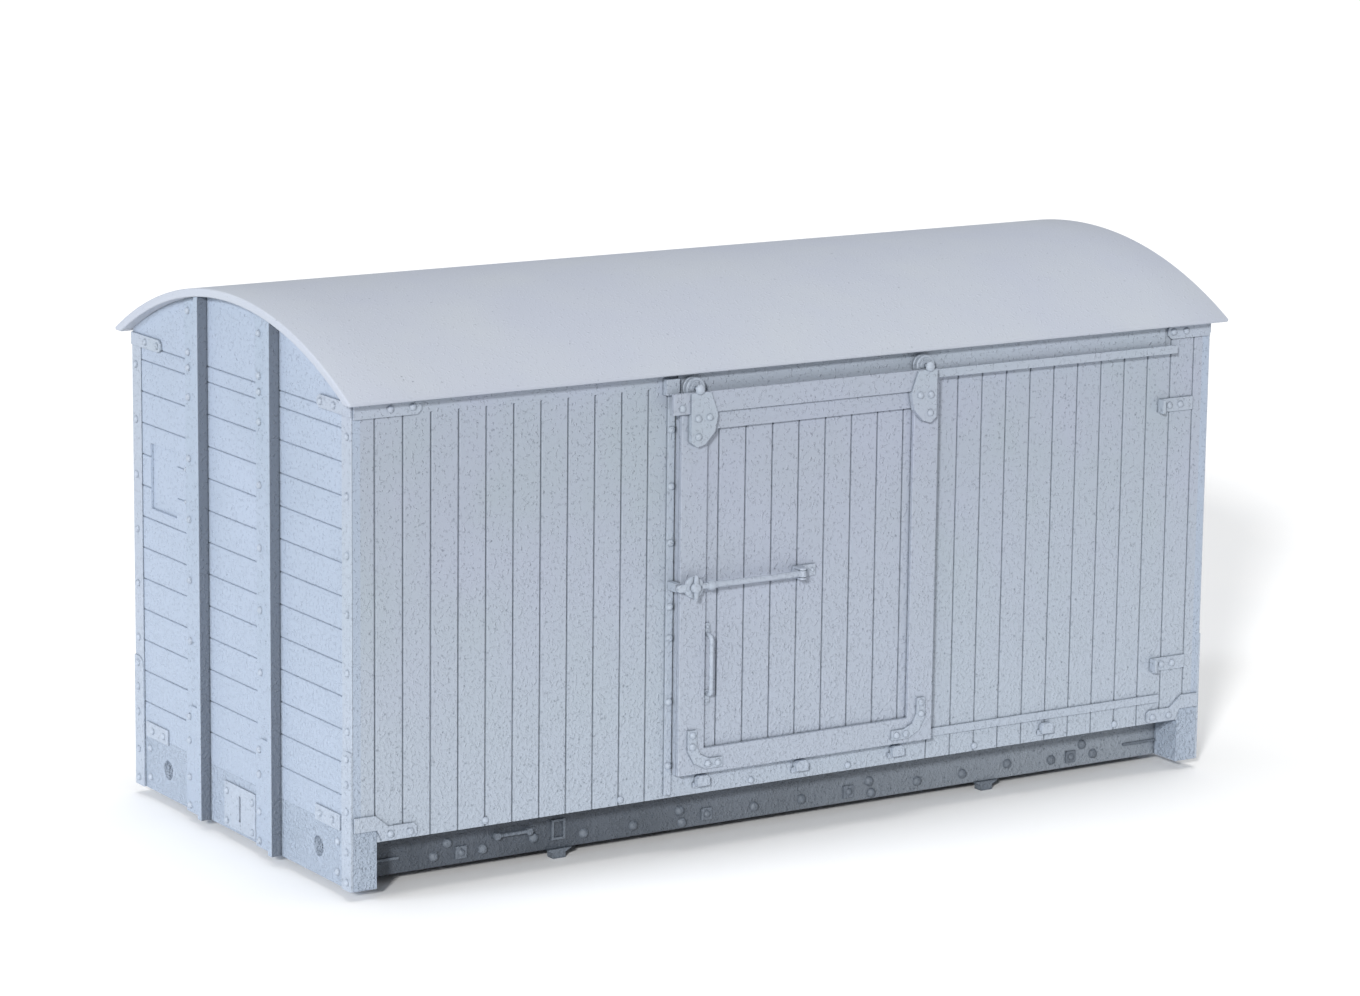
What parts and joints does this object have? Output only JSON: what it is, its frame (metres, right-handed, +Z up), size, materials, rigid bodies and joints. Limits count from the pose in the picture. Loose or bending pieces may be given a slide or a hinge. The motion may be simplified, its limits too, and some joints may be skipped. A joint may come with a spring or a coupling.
{
  "type": "model box car",
  "caption": "Four-wheel goods van body with planked sides, arched roof and sliding doors that hang on flanged rollers, as a static or working railway model without running gear.",
  "frame": {"origin": "centre of the body in plan, at the level of the feet under the solebars", "axes": "+X along the van towards the right-hand end as seen from the front side, -Y is the front side, +Z up"},
  "size_m": [0.1254, 0.0634, 0.0669],
  "materials": {
    "plank_plastic": "pale blue-grey moulded styrene, planks with fine grooves",
    "roof_plastic": "pale blue-grey moulded styrene, smooth",
    "frame_plastic": "blue-grey moulded styrene, fine dark speckle",
    "door_plastic": "pale blue-grey moulded styrene",
    "fitting_plastic": "pale blue-grey moulded styrene, small raised ironwork"
  },
  "bodies": {
    "van_body": {"corner_straps_left": "fitting_plastic", "corner_straps_right": "fitting_plastic", "door_post_back": "fitting_plastic", "door_post_front": "fitting_plastic", "door_stops_back": "fitting_plastic", "door_stops_front": "fitting_plastic", "end_bolts_left": "fitting_plastic", "end_bolts_right": "fitting_plastic", "end_panel_left": "plank_plastic", "end_panel_right": "plank_plastic", "end_stanchion_left_inner": "fitting_plastic", "end_stanchion_left_outer": "fitting_plastic", "end_stanchion_right_inner": "fitting_plastic", "end_stanchion_right_outer": "fitting_plastic", "floor": "plank_plastic", "guide_clips_back": "fitting_plastic", "guide_clips_front": "fitting_plastic", "guide_rail_back": "fitting_plastic", "guide_rail_front": "fitting_plastic", "headstock_left": "frame_plastic", "headstock_plates_left": "frame_plastic", "headstock_plates_right": "frame_plastic", "headstock_right": "frame_plastic", "latch_staple_back": "fitting_plastic", "latch_staple_front": "fitting_plastic", "roof": "roof_plastic", "side_bolts_back": "fitting_plastic", "side_bolts_front": "fitting_plastic", "side_panel_back": "plank_plastic", "side_panel_front": "plank_plastic", "side_straps_back": "fitting_plastic", "side_straps_front": "fitting_plastic", "solebar_back": "frame_plastic", "solebar_bolts_back": "fitting_plastic", "solebar_bolts_front": "fitting_plastic", "solebar_fittings_back": "frame_plastic", "solebar_fittings_front": "frame_plastic", "solebar_front": "frame_plastic", "track_hood_back": "fitting_plastic", "track_hood_front": "fitting_plastic", "track_rail_back": "fitting_plastic", "track_rail_front": "fitting_plastic"},
    "door_front": {"door_panel_front": "door_plastic", "door_frame_front": "door_plastic", "door_irons_front": "fitting_plastic", "door_bolts_front": "fitting_plastic", "grab_handle_front": "fitting_plastic"},
    "latch_front": {"latch_bar_front": "fitting_plastic"},
    "key_front": {"latch_key_front": "fitting_plastic"},
    "roller_front_leading": {"roller_front_leading": "fitting_plastic"},
    "roller_front_trailing": {"roller_front_trailing": "fitting_plastic"},
    "door_back": {"door_panel_back": "door_plastic", "door_frame_back": "door_plastic", "door_irons_back": "fitting_plastic", "door_bolts_back": "fitting_plastic", "grab_handle_back": "fitting_plastic"},
    "latch_back": {"latch_bar_back": "fitting_plastic"},
    "key_back": {"latch_key_back": "fitting_plastic"},
    "roller_back_leading": {"roller_back_leading": "fitting_plastic"},
    "roller_back_trailing": {"roller_back_trailing": "fitting_plastic"}
  },
  "joints": [
    {"name": "door_front_slide", "type": "slide", "parent": "van_body", "child": "door_front", "axis": [1, 0, 0], "range_m": [0, 0.0349]},
    {"name": "latch_front_swing", "type": "hinge", "parent": "door_front", "child": "latch_front", "pos_m": [-0.0017, -0.0308, 0.03275], "axis": [0, 0, 1], "range_deg": [0, 150]},
    {"name": "key_front_turn", "type": "hinge", "parent": "latch_front", "child": "key_front", "pos_m": [-0.0171, -0.0308, 0.03275], "axis": [0, 1, 0], "range_deg": [0, 90]},
    {"name": "roller_front_leading_spin", "type": "hinge", "parent": "door_front", "child": "roller_front_leading", "pos_m": [-0.01645, -0.0293, 0.05635], "axis": [0, 1, 0], "range_deg": [0, 3340]},
    {"name": "roller_front_trailing_spin", "type": "hinge", "parent": "door_front", "child": "roller_front_trailing", "pos_m": [0.01645, -0.0293, 0.05635], "axis": [0, 1, 0], "range_deg": [0, 3340]},
    {"name": "door_back_slide", "type": "slide", "parent": "van_body", "child": "door_back", "axis": [-1, 0, 0], "range_m": [0, 0.0349]},
    {"name": "latch_back_swing", "type": "hinge", "parent": "door_back", "child": "latch_back", "pos_m": [0.0017, 0.0308, 0.03275], "axis": [0, 0, 1], "range_deg": [0, 150]},
    {"name": "key_back_turn", "type": "hinge", "parent": "latch_back", "child": "key_back", "pos_m": [0.0171, 0.0308, 0.03275], "axis": [0, -1, 0], "range_deg": [0, 90]},
    {"name": "roller_back_leading_spin", "type": "hinge", "parent": "door_back", "child": "roller_back_leading", "pos_m": [0.01645, 0.0293, 0.05635], "axis": [0, -1, 0], "range_deg": [0, 3340]},
    {"name": "roller_back_trailing_spin", "type": "hinge", "parent": "door_back", "child": "roller_back_trailing", "pos_m": [-0.01645, 0.0293, 0.05635], "axis": [0, -1, 0], "range_deg": [0, 3340]}
  ],
  "couplings": [
    {"joint": "roller_front_leading_spin", "follows": "door_front_slide", "rad_per_m": 1666.7},
    {"joint": "roller_front_trailing_spin", "follows": "door_front_slide", "rad_per_m": 1666.7},
    {"joint": "roller_back_leading_spin", "follows": "door_back_slide", "rad_per_m": 1666.7},
    {"joint": "roller_back_trailing_spin", "follows": "door_back_slide", "rad_per_m": 1666.7}
  ]
}
